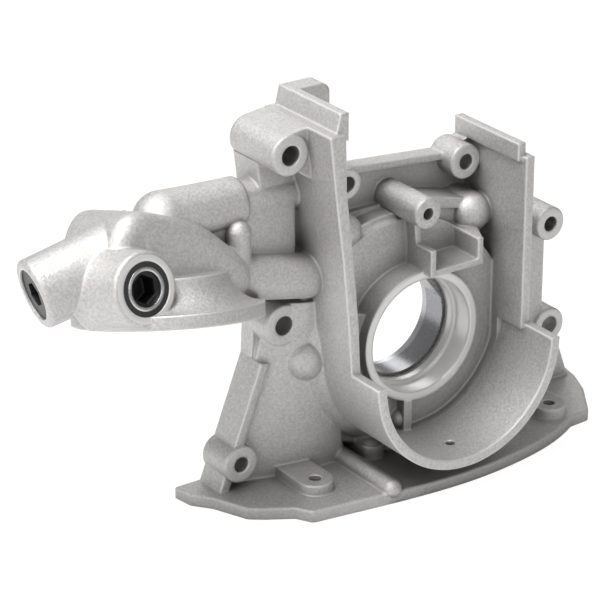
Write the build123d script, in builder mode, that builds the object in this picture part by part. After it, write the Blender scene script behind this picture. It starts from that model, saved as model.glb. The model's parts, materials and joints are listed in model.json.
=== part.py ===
from build123d import *

import os
from math import acos, cos, pi, radians, sin, tan

os.makedirs("parts", exist_ok=True)

# Engine oil pump, a crank driven internal gear pump built into a timing end cover.
# Millimetres, Z up. The origin is on the crank axis at the front face of the seal boss,
# +Y runs back to the cylinder block and +X to the right, seen from the front.

# Depths along Y
block_face_y = 30.0
plate_thickness = 8.0
pocket_depth = 3.5
belt_floor_y = 5.0
drum_back_y = 18.5
side_floor_y = 14.0
chamber_floor_y = 17.0
deep_floor_y = 11.5
side_rim_y = -15.0
arc_rim_y = -33.0
tab_front_y = -12.0

# Crank seal seat and belt guard walls
seal_seat_radius = 25.0
seal_seat_depth = 9.5
seal_boss_radius = 28.6
seal_stop_radius = 23.4
guard_radius = 42.0
guard_thickness = 4.0
right_wall_x = 40.3
right_wall_top_z = 74.0
left_wall_thickness = 4.6
left_wall_top_z = 103.4
left_wall_top_x = -57.0
right_tab_width = 3.6
web_front_y = 1.0
right_tab_height = 7.5
rail_front_y = -12.0
rail_top_z = 111.0
rail_thickness = 3.6
upstand_front_y = 26.4
upstand_right_x = -32.2
upstand_round = 4.0

# Sump flange, with its pads and ribs
sump_flange_top = -52.5
lip_width = 4.2
lip_front_y = 15.0
sump_flange_thickness = 5.0
sump_pad_radius = 7.5
sump_pad_height = 4.5
sump_hole_radius = 2.6
left_pad_x = -55.5
right_pad_x = 67.0
pad_hole_y = -3.0

# Gear pair
gear_module = 2.0
drive_teeth = 29
ring_teeth = 36
pressure_angle = 20.0
tooth_addendum = 1.6
tooth_dedendum = 1.9
tooth_backlash = 0.16
gear_width = 8.84
ring_wall = 3.6
drive_bore_radius = 22.0
drive_flat_reach = 20.7
drive_flat_turn = 38.0
drive_hub_radius = 26.2
drive_hub_length = 2.0

# Gear chamber and its cover
chamber_depth = 9.0
ring_clearance = 0.06
hub_clearance = 0.05
end_clearance = 0.08
crescent_clearance = 0.15
crescent_end_x = 2.0
cover_radius = 51.0
cover_thickness = 3.5
cover_recess_clearance = 0.4
cover_bore_radius = 22.6
cover_screw_count = 6
cover_screw_circle = 46.6
screw_radius = 2.5
screw_head_radius = 4.6
screw_length = 9.0
screw_clearance = 0.3
screw_socket_size = 3.0
screw_socket_depth = 1.8
dowel_radius = 2.0
dowel_length = 7.0
dowel_turn = 30.0

# Ports in the casting
port_depth = 3.0
port_floor = 2.5
port_inner_radius = 27.6
port_outer_radius = 37.0
port_start_angle = 28.0
port_end_angle = 82.0
channel_radius = 38.2
channel_width = 5.4
suction_channel_angles = (-92.0, -66.0)
delivery_channel_angles = (66.0, 140.0)
passage_wall = 3.6
suction_bore_radius = 6.5
suction_y = 17.0
suction_spigot_radius = 8.0
suction_spigot_depth = 8.0
suction_bolt_spacing = 26.0
tapped_hole_radius = 2.6
delivery_start = (-39.0, 27.0)
delivery_end = (-52.0, 36.4)

# Filter head: flange centre on the gasket face, and the flange axis leaning forward and outward
filter_centre = Vector(-116.1, 10.0, 33.7)
filter_axis = Vector(0.134, 0.283, 0.950).normalized()
filter_flange_radius = 37.8
filter_flange_thickness = 5.4
filter_room = 8.0
filter_room_radius = 47.0
filter_bell_foot = 35.6
filter_bell_waist = 28.6
filter_bell_step = 9.4
filter_bell_top = 24.0
filter_bell_height = 18.0
filter_groove_inner = 13.5
filter_groove_outer = 27.0
filter_groove_depth = 7.0
filter_thread_radius = 8.3
filter_thread_depth = 20.0
return_bore_height = 38.0
head_rear = -18.0
head_front_reach = 17.0

# Side plug on the front of the head
side_plug_left = 29.0
side_plug_height = 16.0
side_plug_face = 26.0
side_boss_radius = 14.3
side_boss_foot = 2.0
side_boss_foot_radius = 19.0
side_plug_radius = 8.4
side_plug_length = 12.0
side_socket_radius = 6.9
side_socket_depth = 1.5
side_hex_size = 10.0
side_hex_depth = 7.0
side_seal_radius = 10.6
side_seal_thickness = 2.2
side_passage_radius = 3.0

# Relief valve
relief_face_centre = Vector(-170.5, 18.8, 54.6)
relief_axis = Vector(-0.96, 0.10, -0.24).normalized()
relief_boss_radius = 14.0
relief_boss_foot_radius = 15.0
relief_boss_length = 46.0
relief_plug_radius = 8.2
relief_plug_thread_length = 9.0
relief_collar_radius = 10.4
relief_collar_thickness = 3.0
relief_collar_sink = 0.8
relief_washer_thickness = 1.0
relief_socket_size = 9.0
relief_socket_depth = 7.0
relief_bore_radius = 7.0
relief_bore_end = 44.0
relief_piston_length = 14.0
relief_piston_floor = 2.5
relief_piston_wall = 1.5
relief_feed_radius = 4.5
relief_feed_end = 60.0
relief_spring_turns = 6
relief_spring_wire = 0.8

# Oil tubes between the cover and the filter head
tube_radius = 9.2
passage_radius = 5.5
feed_tube_start = Vector(-52.0, 10.0, 36.4)
feed_tube_end = Vector(-118.0, 10.0, 51.0)
feed_drop_left = -20.0
return_port_x = -52.0
return_tube_y = 20.0
return_tube_z = 71.0
return_tube_radius = 8.6
return_root_radius = 11.8
return_step_radius = 10.2
return_step_x = -77.0
return_tube_end_x = -112.0
nub_foot = Vector(-83.5, 9.5, 50.0)
nub_height = 12.5
nub_radius = 5.0
arm_front_y = 12.0
arm_back_y = 25.0
arm_outline = [
    (-113.0, 48.0),
    (-113.0, 71.0),
    (-55.0, 71.0),
    (-55.0, 37.0),
]

# Filter bypass valve, between the filter groove and the return bore
bypass_front = -20.0
bypass_boss_radius = 10.5
bypass_bore_radius = 5.5
bypass_bore_depth = 12.0
bypass_seat_length = 2.4
bypass_seat_bore = 3.2
bypass_disc_thickness = 1.4
bypass_roof = 3.5
bypass_boss_foot = 1.0
bypass_spring_turns = 4
bypass_spring_wire = 0.5
cross_drill_radius = 2.4
ball_sink = 2.3

# Drain web under the seal boss, and the drain hole in the belt guard
drain_web_front_y = 0.0
drain_nub_x = -8.0
drain_nub_z = -37.0
drain_nub_radius = 4.0
guard_hole_radius = 2.0
guard_hole_foot = Vector(1.4, -18.6, -48.0)

# Rounding of the cast rims
rim_round = 0.8
head_rim_round = 1.6
flare_share = 0.15
head_round = 7.0
corner_round = 3.0

# Clearances shared by the sliding pieces, and the end gaps of the springs
slide_clearance = 0.04
spring_clearance = 0.35
end_gap = 0.05

# Central tapped boss and the channel bracket under it
stud_x = 0.0
stud_z = 55.0
stud_front_y = -3.0
stud_radius = 6.5
stud_hole_radius = 2.6
stud_hole_depth = 16.0
tray_left_x = 0.3
tray_width = 26.7
tray_bottom_z = 27.5
tray_height = 11.6
tray_wall = 2.5
tray_flare = 8.0
tray_flare_y = 12.0
tray_front_y = -5.0

# Bolt bosses to the block: x, z, front face y, outer radius, hole radius
block_bolts = [
    (-65.2, 93.5, 0.0, 8.5, 4.2),
    (-60.4, 15.7, 12.0, 9.0, 4.2),
    (-27.0, 68.0, 15.0, 6.6, 3.4),
    (32.8, 64.5, 15.0, 7.5, 3.4),
    (75.2, 28.5, 10.0, 7.4, 3.4),
    (85.0, -25.0, 20.0, 8.0, 4.2),
    (-80.5, -41.6, 13.5, 8.0, 3.4),
]

# Bulges in the floor: x, z, front y, radius
floor_domes = [
    (34.5, 43.0, 5.0, 8.4),
    (-28.5, 49.0, 8.0, 6.5),
    (-48.5, -2.0, 5.0, 10.0),
]

# Round-backed ribs on the sump flange: x, top z, radius, front y, back y
sump_ribs = [
    (-31.0, -47.5, 4.0, -22.5, 24.0),
    (-19.0, -44.5, 5.0, 8.0, 24.0),
    (-5.0, -45.0, 5.0, 10.0, 24.0),
]

# Derived sizes
guard_outer = guard_radius + guard_thickness
plate_front_y = block_face_y - plate_thickness
sump_face_z = sump_flange_top - sump_flange_thickness
pitch_radius_drive = gear_module * drive_teeth / 2
pitch_radius_ring = gear_module * ring_teeth / 2
ring_x = pitch_radius_drive - pitch_radius_ring
drive_tip_radius = pitch_radius_drive + tooth_addendum
drive_root_radius = pitch_radius_drive - tooth_dedendum
ring_tip_radius = pitch_radius_ring - tooth_addendum
ring_root_radius = pitch_radius_ring + tooth_dedendum
ring_outer_radius = ring_root_radius + ring_wall
chamber_radius = ring_outer_radius + ring_clearance
cover_face_y = chamber_floor_y + chamber_depth
cover_back_y = cover_face_y + cover_thickness
gear_front_y = chamber_floor_y + end_clearance
gear_back_y = gear_front_y + gear_width
port_floor_y = chamber_floor_y - port_depth
dowel_places = (dowel_turn, dowel_turn + 180.0)

# The filter head's own axes: left and front lie in the gasket face
front_guess = Vector(0.114, -0.956, 0.269)
head_front = (front_guess - filter_axis * front_guess.dot(filter_axis)).normalized()
head_left = head_front.cross(filter_axis)


def head_point(left, front, height):
    """Point of the filter head from distances along its own axes."""
    return filter_centre + head_left * left + head_front * front + filter_axis * height


def relief_point(depth):
    """Point on the relief valve axis at a depth under the boss face."""
    return relief_face_centre - relief_axis * depth


suction_foot = Vector(ring_x, suction_y, sump_face_z)
suction_head = Vector(ring_x, suction_y, -channel_radius)
return_tube_start = Vector(return_port_x, return_tube_y, return_tube_z)
return_tube_end = Vector(return_tube_end_x, return_tube_y, return_tube_z)

# Outlines in (x, z), seen from the front
plate_outline = [
    (-90.0, sump_flange_top),
    (-78.8, -24.0),
    (-69.5, 0.0),
    (-68.5, 20.0),
    (-50.0, 46.0),
    (-56.0, left_wall_top_z),
    (-50.0, left_wall_top_z),
    (-45.0, 88.0),
    (-34.0, 74.5),
    (-17.8, 71.4),
    (27.2, 67.6),
    (right_wall_x + guard_thickness, right_wall_top_z),
    (right_wall_x + guard_thickness, 58.0),
    (66.0, 34.0),
    (82.0, 20.0),
    (82.0, -18.0),
    (92.0, -36.0),
    (98.0, sump_flange_top),
]
pocket_outline = [
    (-46.0, 52.0),
    (-44.0, 76.0),
    (-34.0, 71.0),
    (-17.8, 68.6),
    (27.2, 64.8),
    (right_wall_x, 66.0),
    (right_wall_x, 50.0),
    (0.0, 52.0),
]
deep_floor_outline = [
    (-60.0, 60.0),
    (-60.0, 24.0),
    (-24.0, 14.0),
    (0.0, 24.0),
    (tray_left_x + tray_width, 26.0),
    (tray_left_x + tray_width, 60.0),
]
side_floor_outline = [
    (right_wall_x, 0.0),
    (right_wall_x, 48.0),
    (20.0, 48.0),
    (0.0, 48.0),
    (0.0, 0.0),
]
left_wall_outline = [
    (-guard_outer, -2.0),
    (-47.6, 20.0),
    (-50.5, 50.0),
    (-54.5, 80.0),
    (left_wall_top_x, left_wall_top_z),
    (left_wall_top_x + 7.2, left_wall_top_z),
    (-54.5 + left_wall_thickness + 0.6, 80.0),
    (-50.5 + left_wall_thickness, 50.0),
    (-47.6 + left_wall_thickness, 20.0),
    (-guard_radius, -2.0),
]
right_wall_outline = [
    (right_wall_x, -2.0),
    (right_wall_x + guard_thickness, -2.0),
    (right_wall_x + guard_thickness, right_wall_top_z),
    (right_wall_x, right_wall_top_z),
]
right_tab_outline = [
    (right_wall_x - 2.0, right_wall_top_z - 2.0),
    (right_wall_x - 2.0 + right_tab_width, right_wall_top_z - 2.0),
    (right_wall_x - 2.0 + right_tab_width, right_wall_top_z - 2.0 + right_tab_height),
    (right_wall_x - 2.0, right_wall_top_z - 2.0 + right_tab_height),
]
rail_outline = [
    (-52.4, left_wall_top_z - 1.5),
    (-51.7, left_wall_top_z + 1.2),
    (-50.1, rail_top_z),
    (-50.1 + rail_thickness, rail_top_z),
    (-50.1 + rail_thickness, left_wall_top_z - 4.0),
]
upstand_outline = [
    (-50.1, left_wall_top_z - 8.0),
    (-50.1, rail_top_z),
    (upstand_right_x, rail_top_z),
    (upstand_right_x, 84.0),
    (-45.0, 78.0),
]
upper_web_outline = [
    (-65.2, 102.0),
    (left_wall_top_x + 1.0, left_wall_top_z - 0.2),
    (-53.0, 80.0),
    (-62.0, 86.0),
]
lower_web_outline = [
    (-72.0, 88.0),
    (-54.0, 90.0),
    (-52.0, 70.0),
    (-70.0, 72.0),
]
tray_right_x = tray_left_x + tray_width
tray_top_z = tray_bottom_z + tray_height
tray_outline = [
    (tray_left_x, tray_bottom_z),
    (tray_right_x, tray_bottom_z),
    (tray_right_x, tray_top_z),
    (tray_right_x - tray_wall, tray_top_z),
    (tray_right_x - tray_wall, tray_bottom_z + tray_wall),
    (tray_left_x + tray_wall, tray_bottom_z + tray_wall),
    (tray_left_x + tray_wall, tray_top_z),
    (tray_left_x, tray_top_z),
]
tray_flare_outline = [
    (tray_right_x - tray_wall, tray_front_y + 1.0),
    (tray_right_x, tray_front_y + 1.0),
    (tray_right_x + tray_flare, tray_flare_y),
    (tray_right_x + tray_flare, plate_front_y),
    (tray_right_x - tray_wall, plate_front_y),
]
stud_web_outline = [
    (stud_x - 1.2, stud_z - 4.0),
    (tray_left_x, tray_top_z - 1.0),
    (tray_left_x + tray_wall, tray_top_z - 1.0),
    (stud_x + 1.6, stud_z - 4.0),
]
stud_ridge_outline = [
    (stud_x, stud_z + 3.0),
    (34.5, 49.0),
    (34.5, 45.0),
    (stud_x, stud_z - 3.0),
]
drain_web_outline = [
    (-8.5, -seal_boss_radius + 1.5),
    (-4.5, -seal_boss_radius + 1.0),
    (-4.5, -guard_radius - 1.0),
    (-8.5, -guard_radius),
]
head_profile = [
    (0.0, 3.0),
    (26.0, 5.0),
    (36.0, 14.0),
    (35.5, 30.0),
    (27.0, 43.0),
    (9.0, 42.0),
    (-7.0, 37.5),
    (-20.0, 29.0),
    (-32.0, 14.0),
    (-26.0, 5.0),
]

lip_outline = [
    (-90.0, sump_flange_top),
    (-78.8, -24.0),
    (-69.5, 0.0),
    (-69.5 + lip_width, -1.0),
    (-78.8 + lip_width, -25.0),
    (-90.0 + lip_width, sump_flange_top),
]

# Sump flange outline in (x, y), seen from above
sump_right = [
    (72.0, -12.0),
    (82.6, -11.2),
    (94.6, 6.6),
    (100.0, 19.0),
    (102.5, block_face_y),
]
sump_left = [
    (-102.0, block_face_y),
    (-100.5, 21.0),
    (-94.5, 13.4),
    (-88.0, -2.0),
    (-82.0, -6.5),
    (-72.0, -12.5),
    (-68.0, -19.5),
]
sump_front = [
    (-31.0, -24.6),
    (11.0, -27.0),
    (34.3, -24.6),
    (54.0, -20.0),
]

# Front edges in (x, y) of the shoulder between the plate's left edge and the drum
shoulder_top_z = 20.0
shoulder_foot_front = [
    (-84.0, 21.0),
    (-66.0, 16.0),
    (-46.0, 12.5),
    (-30.0, 12.0),
]
shoulder_top_front = [
    (-64.0, 19.0),
    (-57.0, 12.5),
    (-49.0, 8.8),
    (-40.0, 8.0),
]


def front_plane(y):
    """Plane at depth y: sketches read as (x, z) and extrusions run to the front."""
    return Plane(origin=(0, y, 0), x_dir=(1, 0, 0), z_dir=(0, -1, 0))


def outline(points):
    """Face with straight sides, made in the sketch that is open."""
    with BuildLine() as sides:
        Polyline(*points, close=True)
    make_face(sides.edges())


def round_bar(start, end, radius, mode=Mode.ADD):
    """Add or cut a round bar between two points."""
    axis = end - start
    with BuildSketch(Plane(origin=start, z_dir=axis)) as section:
        Circle(radius)
    extrude(section.sketch, amount=axis.length, mode=mode)


def hollow_bar(start, end, radius, inner_radius):
    """Add a round bar with a hole through it."""
    axis = end - start
    with BuildSketch(Plane(origin=start, z_dir=axis)) as section:
        Circle(radius)
        Circle(inner_radius, mode=Mode.SUBTRACT)
    extrude(section.sketch, amount=axis.length)


def boss(x, z, front_y, back_y, radius, mode=Mode.ADD, rim=0.0):
    """Add or cut a round bar along Y, its front rim rounded if wanted."""
    with BuildSketch(front_plane(back_y)) as section:
        with Locations((x, z)):
            Circle(radius)
    if rim:
        bar = extrude(section.sketch, amount=back_y - front_y, mode=Mode.PRIVATE)
        add(bar.fillet(rim, [bar.edges().sort_by(Axis.Y)[0]]))
    else:
        extrude(section.sketch, amount=back_y - front_y, mode=mode)


def rimmed_bar(start, end, end_radius, start_radius, rim):
    """Add a round bar that flares to its start, with a rounded rim at its end."""
    axis = end - start
    foot = Plane(origin=start, z_dir=axis)
    waist = (start_radius + end_radius) / 2 - flare_share * (start_radius - end_radius)
    with BuildSketch(Plane(origin=start, x_dir=foot.x_dir, z_dir=foot.x_dir.cross(foot.z_dir))) as half:
        with BuildLine() as profile:
            Polyline((0, axis.length), (0, 0), (start_radius, 0))
            ThreePointArc((start_radius, 0), (waist, axis.length / 2), (end_radius, axis.length))
            Line((end_radius, axis.length), (0, axis.length))
        make_face(profile.edges())
    bar = revolve(half.sketch, axis=Axis(start, axis), mode=Mode.PRIVATE)
    rims = bar.edges().filter_by(GeomType.CIRCLE).sort_by(Axis(start, axis))
    add(bar.fillet(rim, [rims[-1]]))


def prism(points, front_y, back_y, mode=Mode.ADD):
    """Add or cut a straight-sided outline in (x, z) between two depths."""
    with BuildSketch(front_plane(back_y)) as section:
        outline(points)
    extrude(section.sketch, amount=back_y - front_y, mode=mode)


def delivery_slot(front_y, radius, mode=Mode.ADD):
    """Add or cut the slot from the gear chamber to the feed port, back to the block face."""
    axis = Edge.make_line(delivery_start, delivery_end)
    with BuildSketch(front_plane(block_face_y)) as section:
        with Locations(axis @ 0.5):
            SlotCenterToCenter(axis.length, 2 * radius, rotation=axis.tangent_angle_at(0))
    extrude(section.sketch, amount=block_face_y - front_y, mode=mode)


def involute_half_angle(radius, teeth, thickness_change):
    """Half the angle of an involute tooth at a radius, in radians."""
    pitch_radius = gear_module * teeth / 2
    base_radius = pitch_radius * cos(radians(pressure_angle))
    flank = acos(min(1.0, base_radius / radius))
    involute = tan(radians(pressure_angle)) - radians(pressure_angle) - (tan(flank) - flank)
    return pi / (2 * teeth) + involute + thickness_change / (2 * pitch_radius)


def toothed_outline(teeth, root, tip, thickness_change):
    """Closed line round a wheel with a tooth centred on +X, flanks through three involute points."""
    pitch = 2 * pi / teeth
    middle = (root + tip) / 2
    half_root = involute_half_angle(root, teeth, thickness_change)
    half_middle = involute_half_angle(middle, teeth, thickness_change)
    half_tip = involute_half_angle(tip, teeth, thickness_change)

    def at(radius, angle):
        return (radius * cos(angle), radius * sin(angle))

    for tooth in range(teeth):
        turn = tooth * pitch
        ThreePointArc(at(root, turn - half_root), at(middle, turn - half_middle), at(tip, turn - half_tip))
        Line(at(tip, turn - half_tip), at(tip, turn + half_tip))
        ThreePointArc(at(tip, turn + half_tip), at(middle, turn + half_middle), at(root, turn + half_root))
        Line(at(root, turn + half_root), at(root, turn + pitch - half_root))


def sector(radius, start_angle, end_angle):
    """Keep only the part of the open sketch between two angles, which may be up to 120 degrees apart."""
    reach = 3 * radius
    corners = [(0, 0)]
    for angle in (radians(start_angle), radians(end_angle)):
        corners.append((reach * cos(angle), reach * sin(angle)))
    with BuildLine() as sides:
        Polyline(*corners, close=True)
    make_face(sides.edges(), mode=Mode.INTERSECT)


def coil_spring(start, end, mean_radius, wire_radius, turns):
    """Add a coil spring between two points, the wire lying inside that length."""
    axis = (end - start).normalized()
    foot = start + axis * wire_radius
    height = (end - start).length - 2 * wire_radius
    with BuildLine() as path:
        Helix(height / turns, height, mean_radius, center=foot, direction=axis)
    with BuildSketch(Plane(origin=path.line @ 0, z_dir=path.line % 0)) as wire:
        RegularPolygon(wire_radius, 6)
    sweep(wire.sketch, path=path.line, is_frenet=True)


# Drive gear: external teeth, a hub that runs in the casting and two flats for the crank nose
with BuildPart() as drive_gear:
    with BuildSketch(front_plane(gear_back_y)):
        with BuildLine():
            toothed_outline(drive_teeth, drive_root_radius, drive_tip_radius, -tooth_backlash)
        make_face()
    extrude(amount=gear_width)
    boss(0, 0, gear_front_y - drive_hub_length, gear_front_y, drive_hub_radius)
    with BuildSketch(front_plane(gear_back_y)):
        Circle(drive_bore_radius)
        Rectangle(2 * drive_flat_reach, 3 * drive_bore_radius, rotation=drive_flat_turn, mode=Mode.INTERSECT)
    extrude(amount=gear_width + drive_hub_length, mode=Mode.SUBTRACT)

# Ring gear: internal teeth on a centre offset towards the filter side
with BuildPart() as ring_gear:
    boss(ring_x, 0, gear_front_y, gear_back_y, ring_outer_radius)
    with BuildSketch(Plane(origin=(ring_x, gear_back_y, 0), x_dir=(1, 0, 0), z_dir=(0, -1, 0))):
        with BuildLine():
            toothed_outline(ring_teeth, ring_tip_radius, ring_root_radius, tooth_backlash)
        make_face()
    extrude(amount=gear_width, mode=Mode.SUBTRACT)

# Cover plate behind the gears, with the crank opening, countersunk holes and dowel holes
with BuildPart() as pump_cover:
    boss(ring_x, 0, cover_face_y, cover_back_y, cover_radius)
    boss(0, 0, cover_face_y, cover_back_y, cover_bore_radius, Mode.SUBTRACT)
    with Locations(Plane(origin=(ring_x, cover_back_y, 0), x_dir=(1, 0, 0), z_dir=(0, 1, 0))):
        with PolarLocations(cover_screw_circle, cover_screw_count):
            CounterSinkHole(
                screw_radius + screw_clearance,
                screw_head_radius + screw_clearance,
                cover_thickness,
            )
        for turn in dowel_places:
            with PolarLocations(cover_screw_circle, 1, start_angle=turn):
                Hole(dowel_radius + slide_clearance, cover_thickness)

# Countersunk screws and dowels that hold and place the cover
with BuildPart() as cover_screws:
    with Locations(Plane(origin=(ring_x, cover_back_y, 0), x_dir=(1, 0, 0), z_dir=(0, 1, 0))):
        with PolarLocations(cover_screw_circle, cover_screw_count):
            Cylinder(screw_radius, screw_length, align=(Align.CENTER, Align.CENTER, Align.MAX))
            Cone(
                screw_radius,
                screw_head_radius,
                (screw_head_radius - screw_radius) / tan(radians(41)),
                align=(Align.CENTER, Align.CENTER, Align.MAX),
            )
    with BuildSketch(Plane(origin=(ring_x, cover_back_y, 0), x_dir=(1, 0, 0), z_dir=(0, 1, 0))):
        with PolarLocations(cover_screw_circle, cover_screw_count):
            RegularPolygon(screw_socket_size / 2, 6, major_radius=False)
    extrude(amount=-screw_socket_depth, mode=Mode.SUBTRACT)

with BuildPart() as cover_dowels:
    with Locations(Plane(origin=(ring_x, cover_back_y, 0), x_dir=(1, 0, 0), z_dir=(0, 1, 0))):
        for turn in dowel_places:
            with PolarLocations(cover_screw_circle, 1, start_angle=turn):
                Cylinder(dowel_radius, dowel_length, align=(Align.CENTER, Align.CENTER, Align.MAX))

# Relief valve: a cup piston, its spring, and a collared plug on a washer
relief_collar_front = relief_collar_sink
relief_collar_back = relief_collar_front + relief_collar_thickness
relief_washer_back = relief_collar_back + relief_washer_thickness
relief_plug_end = relief_washer_back + relief_plug_thread_length
relief_piston_open = relief_bore_end - end_gap - relief_piston_length
relief_cup_floor = relief_bore_end - end_gap - relief_piston_floor

with BuildPart() as relief_piston:
    round_bar(
        relief_point(relief_piston_open),
        relief_point(relief_bore_end - end_gap),
        relief_bore_radius - slide_clearance,
    )
    round_bar(
        relief_point(relief_piston_open),
        relief_point(relief_cup_floor),
        relief_bore_radius - slide_clearance - relief_piston_wall,
        Mode.SUBTRACT,
    )

relief_spring_radius = relief_bore_radius - relief_piston_wall - spring_clearance - relief_spring_wire
with BuildPart() as relief_spring:
    coil_spring(
        relief_point(relief_plug_end + end_gap),
        relief_point(relief_cup_floor - end_gap),
        relief_spring_radius,
        relief_spring_wire,
        relief_spring_turns,
    )

with BuildPart() as relief_plug:
    round_bar(relief_point(relief_collar_front), relief_point(relief_collar_back), relief_collar_radius)
    round_bar(relief_point(relief_collar_back), relief_point(relief_plug_end), relief_plug_radius)
    with BuildSketch(Plane(origin=relief_point(relief_collar_front), z_dir=-relief_axis)):
        RegularPolygon(relief_socket_size / 2, 6, major_radius=False)
    extrude(amount=relief_socket_depth, mode=Mode.SUBTRACT)

with BuildPart() as relief_washer:
    hollow_bar(
        relief_point(relief_collar_back),
        relief_point(relief_washer_back),
        relief_collar_radius - slide_clearance,
        relief_plug_radius + slide_clearance,
    )

# Side plug and its seal ring on the front of the head


def side_point(front):
    """Point on the side plug's axis."""
    return head_point(side_plug_left, front, side_plug_height)


side_plug_back = side_plug_face - side_plug_length
with BuildPart() as side_plug:
    round_bar(side_point(side_plug_back), side_point(side_plug_face), side_plug_radius)
    round_bar(
        side_point(side_plug_face - side_socket_depth),
        side_point(side_plug_face),
        side_socket_radius,
        Mode.SUBTRACT,
    )
    with BuildSketch(Plane(origin=side_point(side_plug_face), z_dir=head_front)):
        RegularPolygon(side_hex_size / 2, 6, major_radius=False)
    extrude(amount=-side_socket_depth - side_hex_depth, mode=Mode.SUBTRACT)

with BuildPart() as side_plug_seal:
    hollow_bar(
        side_point(side_plug_face - side_seal_thickness),
        side_point(side_plug_face),
        side_seal_radius,
        side_plug_radius + slide_clearance,
    )

# Filter bypass valve: a seat ring pressed into the groove floor, a disc and its spring
bypass_mouth = filter_groove_depth
bypass_end = bypass_mouth + bypass_bore_depth


def bypass_point(height):
    """Point on the bypass valve's axis."""
    return head_point(0, bypass_front, height)


with BuildPart() as bypass_seat:
    hollow_bar(
        bypass_point(bypass_mouth),
        bypass_point(bypass_mouth + bypass_seat_length),
        bypass_bore_radius,
        bypass_seat_bore,
    )

bypass_disc_foot = bypass_mouth + bypass_seat_length
bypass_disc_top = bypass_disc_foot + bypass_disc_thickness
with BuildPart() as bypass_disc:
    round_bar(
        bypass_point(bypass_disc_foot + end_gap),
        bypass_point(bypass_disc_top + end_gap),
        bypass_bore_radius - slide_clearance,
    )

bypass_spring_radius = bypass_bore_radius - spring_clearance - bypass_spring_wire
with BuildPart() as bypass_spring:
    coil_spring(
        bypass_point(bypass_disc_top + 2 * end_gap),
        bypass_point(bypass_end - end_gap),
        bypass_spring_radius,
        bypass_spring_wire,
        bypass_spring_turns,
    )

# Steel ball that closes the outer end of the cross drilling
cross_drill_height = bypass_end - cross_drill_radius - 1.0
cross_drill_mouth = bypass_front - bypass_boss_radius
ball_centre = head_point(0, cross_drill_mouth + ball_sink, cross_drill_height)
with BuildPart() as gallery_ball:
    with Locations(ball_centre):
        Sphere(cross_drill_radius)

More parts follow.
